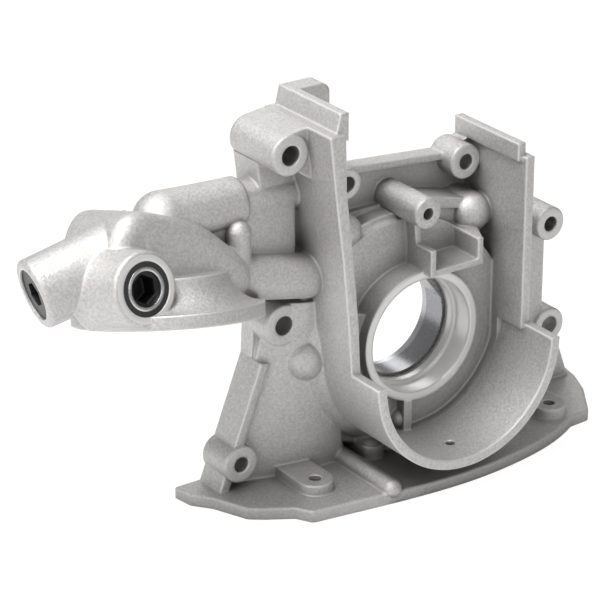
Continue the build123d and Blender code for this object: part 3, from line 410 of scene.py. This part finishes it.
def plug_steel():
    """Steel of the side plug, with painted shade making its deep socket near black."""
    finish = Finish("plug steel")
    # Painted shade: below the plug's face the socket is coloured near black
    deep = finish.along(SIDE_FACE, SIDE_AXIS) < -FACE_DEPTH
    finish.set(
        Base_Color=finish.mix(deep, STEEL_COLOUR, PAINTED_SOCKET_SHADE),
        Metallic=1 - 0.6 * deep,
        Roughness=0.26 + 0.14 * deep,
        Normal=finish.edge_normal(),
    )
    return finish.material


def seal_rubber():
    """Moulded black rubber."""
    finish = Finish("seal rubber")
    finish.set(Base_Color=(0.018, 0.018, 0.018), Roughness=0.55)
    return finish.material


def coil_spring(name, spring, material):
    """Compression spring with closed ends, as a computed surface.

    With a the turn angle, h(a) the height and N(a) = cos a U + sin a V, the wire's centre is
    C(a) = F + h(a) A + R N(a), and the surface is C(a) + w (cos b N(a) + sin b A). The pitch h' is one wire
    thickness over the closed end turns and eases to the open pitch between them.
    """
    fixed, loose = np.array(spring["fixed"]), np.array(spring["loose"])
    coil, wire, turns = spring["coil"], spring["wire"], spring["turns"]
    length = np.linalg.norm(loose - fixed)
    axis = (loose - fixed) / length
    across = np.cross(axis, (0.0, 0.0, 1.0))
    across /= np.linalg.norm(across)
    upward = np.cross(axis, across)

    turn = np.linspace(0.0, turns, int(turns * TURN_STEPS) + 1)
    from_end = np.minimum(turn, turns - turn)
    ease = np.clip((from_end - CLOSED_TURNS * 0.5) / CLOSED_TURNS, 0.0, 1.0)
    ease = ease * ease * (3 - 2 * ease)
    step = turn[1] - turn[0]
    room = length - 2 * wire - 2 * wire * turns
    pitch = 2 * wire + room * ease / np.sum(ease * step)
    height = wire + np.concatenate(([0.0], np.cumsum((pitch[1:] + pitch[:-1]) / 2 * step)))
    height = wire + (height - wire) * (length - 2 * wire) / (height[-1] - wire)

    angle = 2 * np.pi * turn[:, None, None]
    around = 2 * np.pi * np.arange(WIRE_SIDES)[None, :, None] / WIRE_SIDES
    outward = np.cos(angle) * across + np.sin(angle) * upward
    centre = fixed + height[:, None, None] * axis + coil * outward
    points = centre + wire * (np.cos(around) * outward + np.sin(around) * axis)
    rows = len(turn)
    corners = points.reshape(-1, 3) * MM

    row = np.arange(rows - 1)[:, None] * WIRE_SIDES
    side = np.arange(WIRE_SIDES)[None, :]
    after = (side + 1) % WIRE_SIDES
    quads = np.stack((row + side, row + after, row + WIRE_SIDES + after, row + WIRE_SIDES + side), axis=-1)
    faces = [tuple(quad) for quad in quads.reshape(-1, 4).tolist()]
    first = list(range(WIRE_SIDES))
    last = [(rows - 1) * WIRE_SIDES + number for number in first]
    faces += [tuple(reversed(first)), tuple(last)]

    mesh = bpy.data.meshes.new(name + "_coil")
    mesh.from_pydata(corners.tolist(), [], faces)
    mesh.shade_smooth()
    if signed_volume(mesh) < 0:
        mesh.flip_normals()
    mesh.materials.append(material)
    made = bpy.data.objects.new(name + "_coil", mesh)
    bpy.context.scene.collection.objects.link(made)
    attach(made, "housing")
    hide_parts(name)
    1 - spring["travel"] / length
    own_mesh(made)
    return made


def signed_volume(mesh):
    """Volume inside a closed mesh, negative where its faces look inwards."""
    corners = np.empty(3 * len(mesh.vertices))
    mesh.vertices.foreach_get("co", corners)
    corners = corners.reshape(-1, 3)
    volume = 0.0
    for face in mesh.polygons:
        loop = corners[list(face.vertices)]
        volume += np.sum(np.cross(loop[1:-1] - loop[0], loop[2:] - loop[0]) @ loop[0]) / 6
    return volume


def tool(name, corners, faces):
    """A closed cutting tool in millimetres, with its faces outward."""
    mesh = bpy.data.meshes.new(name)
    mesh.from_pydata([tuple(MM * value for value in corner) for corner in corners], [], faces)
    form = bmesh.new()
    form.from_mesh(mesh)
    bmesh.ops.recalc_face_normals(form, faces=form.faces)
    form.to_mesh(mesh)
    form.free()
    made = bpy.data.objects.new(name, mesh)
    bpy.context.scene.collection.objects.link(made)
    return made


def column(name, outline, low, high, place):
    """Prism from low to high: corner k is place(a_k, b_k, height), moved outward by the margin."""
    middle = np.mean(outline, axis=0)
    outline = [np.array(point) + POCKET_MARGIN * np.sign(point - middle) for point in outline]
    count = len(outline)
    corners = [place(a, b, height) for height in (low, high) for a, b in outline]
    faces = [tuple(range(count)), tuple(range(count, 2 * count))]
    faces += [(k, (k + 1) % count, (k + 1) % count + count, k + count) for k in range(count)]
    return tool(name, corners, faces)


def less(body, cutter):
    """Take a cutter out of a body, and the cutter out of the scene."""
    cut = body.modifiers.new("cut", "BOOLEAN")
    cut.operation = "DIFFERENCE"
    cut.solver = "EXACT"
    cut.object = cutter
    depsgraph = bpy.context.evaluated_depsgraph_get()
    mesh = bpy.data.meshes.new_from_object(body.evaluated_get(depsgraph))
    body.modifiers.clear()
    body.data = mesh
    bpy.data.objects.remove(cutter)


def pocket_web():
    """The web in the belt pocket: a ring from the seal boss to r(t), the nearest of its rim and the walls.

    With t the angle round the crank axis, the rim is WEB_RADIUS above the axis and GUARD_RADIUS below
    it, the right wall is at RIGHT_WALL_X / cos t and the left one at
    LEFT_WALL_X / (cos t + LEFT_WALL_LEAN sin t).
    """
    corners = []
    for k in range(POCKET_SIDES):
        turn = 2 * math.pi * (k + 0.5) / POCKET_SIDES
        reach = WEB_RADIUS if math.sin(turn) > 0 else GUARD_RADIUS - GUARD_MARGIN
        if math.cos(turn) > 0:
            reach = min(reach, (RIGHT_WALL_X - POCKET_MARGIN) / math.cos(turn))
        lean = math.cos(turn) + LEFT_WALL_LEAN * math.sin(turn)
        if lean < 0:
            reach = min(reach, (LEFT_WALL_X + POCKET_MARGIN) / lean)
        for radius in (SEAL_BOSS_RADIUS + 2 * POCKET_MARGIN, reach):
            for depth in WEB_DEPTHS:
                corners.append((radius * math.cos(turn), depth, radius * math.sin(turn)))
    faces = []
    for k in range(POCKET_SIDES):
        here, there = 4 * k, 4 * ((k + 1) % POCKET_SIDES)
        for a, b in ((0, 1), (1, 3), (3, 2), (2, 0)):
            faces.append((here + a, here + b, there + b, there + a))
    web = tool("pocket_web", corners, faces)

    front, back = WEB_DEPTHS[0] - 1, WEB_DEPTHS[1] + 1
    for outline in (TRAY_BOTTOM, TRAY_WALL, DRAIN_WEB):
        less(web, column("kept", outline, front, back, lambda a, b, height: (a, height, b)))
    low, high = TRAY_FLARE_HEIGHTS
    low, high = low - POCKET_MARGIN, high + POCKET_MARGIN
    less(web, column("kept", TRAY_FLARE, low, high, lambda a, b, height: (a, b, height)))
    ball = bmesh.new()
    bmesh.ops.create_icosphere(ball, subdivisions=4, radius=DRAIN_NUB_RADIUS + POCKET_MARGIN)
    corners = [np.array(vertex.co) + DRAIN_NUB for vertex in ball.verts]
    faces = [tuple(vertex.index for vertex in face.verts) for face in ball.faces]
    ball.free()
    less(web, tool("kept", corners, faces))
    return web


def own_directions(mesh):
    """The directions that the corners of a CAD mesh have, by place."""
    directions = {}
    for loop, normal in zip(mesh.loops, mesh.corner_normals):
        place = mesh.vertices[loop.vertex_index].co.to_tuple(PLACE_DIGITS)
        directions.setdefault(place, set()).add(normal.vector.to_tuple())
    return directions


def keep_directions(mesh, directions):
    """Shade a merged and cut copy as the CAD mesh is.

    Each corner takes, of the directions that the CAD mesh has at its place, the one nearest its face's own.
    """
    mesh.shade_smooth()
    mesh.set_sharp_from_angle(angle=SHARP_ANGLE)
    chosen = [normal.vector.copy() for normal in mesh.corner_normals]
    for face in mesh.polygons:
        for number in face.loop_indices:
            place = mesh.vertices[mesh.loops[number].vertex_index].co.to_tuple(PLACE_DIGITS)
            known = [Vector(direction) for direction in directions.get(place, ())]
            if known:
                nearest = max(known, key=face.normal.dot)
                if nearest.dot(face.normal) > SAME_FACE:
                    chosen[number] = nearest
    mesh.normals_split_custom_set(chosen)


def open_casting(material):
    """The housing's own surface, merged, with the belt pocket open down to its floor."""
    directions = own_directions(frame["nodes"]["pump_housing"].data)
    mesh = frame["nodes"]["pump_housing"].data.copy()
    if CUSTOM_NORMAL in mesh.attributes:
        mesh.attributes.remove(mesh.attributes[CUSTOM_NORMAL])
    form = bmesh.new()
    form.from_mesh(mesh)
    bmesh.ops.remove_doubles(form, verts=form.verts, dist=1e-7)
    form.to_mesh(mesh)
    form.free()
    made = bpy.data.objects.new("pump_housing_casting", mesh)
    bpy.context.scene.collection.objects.link(made)
    less(made, pocket_web())
    mesh = made.data
    mesh.materials.clear()
    mesh.materials.append(material)
    keep_directions(mesh, directions)
    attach(made, "housing")
    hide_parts("pump_housing")
    return made


def light(name, place, target, size, power):
    """Square white area lamp at a place, facing a target."""
    lamp = bpy.data.lights.new(name, "AREA")
    lamp.size = size
    lamp.energy = power
    holder = bpy.data.objects.new(name, lamp)
    holder.location = place
    holder.rotation_euler = (Vector(target) - Vector(place)).to_track_quat("-Z", "Y").to_euler()
    bpy.context.scene.collection.objects.link(holder)


def camera():
    """The photograph's camera."""
    across = Vector((math.cos(CAMERA_AZIMUTH), math.sin(CAMERA_AZIMUTH), 0.0))
    level = Vector((-math.sin(CAMERA_AZIMUTH), math.cos(CAMERA_AZIMUTH), 0.0))
    ahead = level * math.cos(CAMERA_ELEVATION) - Vector((0, 0, 1)) * math.sin(CAMERA_ELEVATION)
    upward = across.cross(ahead)
    data = bpy.data.cameras.new("photo camera")
    data.sensor_width = SENSOR_WIDTH
    data.lens = FOCAL_PIXELS / FRAME_PIXELS * SENSOR_WIDTH
    data.clip_end = 50.0
    holder = bpy.data.objects.new("photo camera", data)
    turn = Matrix((across, upward, -ahead)).transposed()
    holder.matrix_world = Matrix.Translation(CAMERA_PLACE) @ turn.to_4x4()
    bpy.context.scene.collection.objects.link(holder)
    bpy.context.scene.camera = holder


def surroundings(strength):
    """White surroundings, with the floor keeping a pale shadow."""
    world = bpy.data.worlds.new("studio")
    bpy.context.scene.world = world
    world.use_nodes = True
    tree = world.node_tree
    background = tree.nodes["Background"]
    background.inputs["Color"].default_value = (1.0, 1.0, 1.0, 1.0)
    path = tree.nodes.new("ShaderNodeLightPath")
    camera_ray = Value(tree, path.outputs["Is Camera Ray"])
    connect(tree, strength + (1.0 - strength) * camera_ray, background.inputs["Strength"])

    low = start_bounds[0]
    corners = [(FLOOR_REACH * x, FLOOR_REACH * y, low[2]) for x, y in ((-1, -1), (1, -1), (1, 1), (-1, 1))]
    mesh = bpy.data.meshes.new("floor")
    mesh.from_pydata(corners, [], [(0, 1, 2, 3)])
    floor = bpy.data.objects.new("floor", mesh)
    bpy.context.scene.collection.objects.link(floor)
    material = bpy.data.materials.new("white floor")
    material.use_nodes = True
    tree = material.node_tree
    output = tree.nodes["Material Output"]
    surface = tree.nodes["Principled BSDF"]
    surface.inputs["Base Color"].default_value = FLOOR_COLOUR
    surface.inputs["Roughness"].default_value = 1.0
    surface.inputs["Specular IOR Level"].default_value = 0.0
    glow = tree.nodes.new("ShaderNodeEmission")
    glow.inputs["Strength"].default_value = FLOOR_GLOW
    blend = tree.nodes.new("ShaderNodeMixShader")
    path = tree.nodes.new("ShaderNodeLightPath")
    connect(tree, FLOOR_WHITE * Value(tree, path.outputs["Is Camera Ray"]), blend.inputs[0])
    tree.links.new(surface.outputs[0], blend.inputs[1])
    tree.links.new(glow.outputs[0], blend.inputs[2])
    tree.links.new(blend.outputs[0], output.inputs["Surface"])
    mesh.materials.append(material)


casting = cast_aluminium()
dress("pump_housing", casting)
open_casting(casting)
gear_steel = plain_metal("gear steel", (0.30, 0.30, 0.31), 0.28)
for node in ("drive_gear", "ring_gear", "relief_piston"):
    dress(node, gear_steel)
dress("pump_cover", plain_metal("cover steel", (0.48, 0.48, 0.49), 0.32))
dress("side_plug", plug_steel())
bright_steel = plain_metal("bright steel", (0.60, 0.60, 0.60), 0.25)
for node in ("cover_screws", "cover_dowels", "bypass_seat", "bypass_disc", "gallery_ball"):
    dress(node, bright_steel)
spring_steel = plain_metal("spring steel", (0.36, 0.36, 0.37), 0.30)
for node, spring in SPRINGS.items():
    dress(node, spring_steel)
    coil_spring(node, spring, spring_steel)
dress("relief_plug", plain_metal("black steel", (0.035, 0.035, 0.037), 0.38, 0.6))
dress("relief_washer", plain_metal("crush washer", (0.62, 0.62, 0.62), 0.35))
dress("side_plug_seal", seal_rubber())

camera()
surroundings(SKY_STRENGTH)
for name, lamp in LAMPS.items():
    light(name, *lamp)

scene = bpy.context.scene
scene.render.engine = "CYCLES"
scene.view_settings.view_transform = "Standard"
scene.render.resolution_x = 600
scene.render.resolution_y = 600
scene.cycles.samples = 160
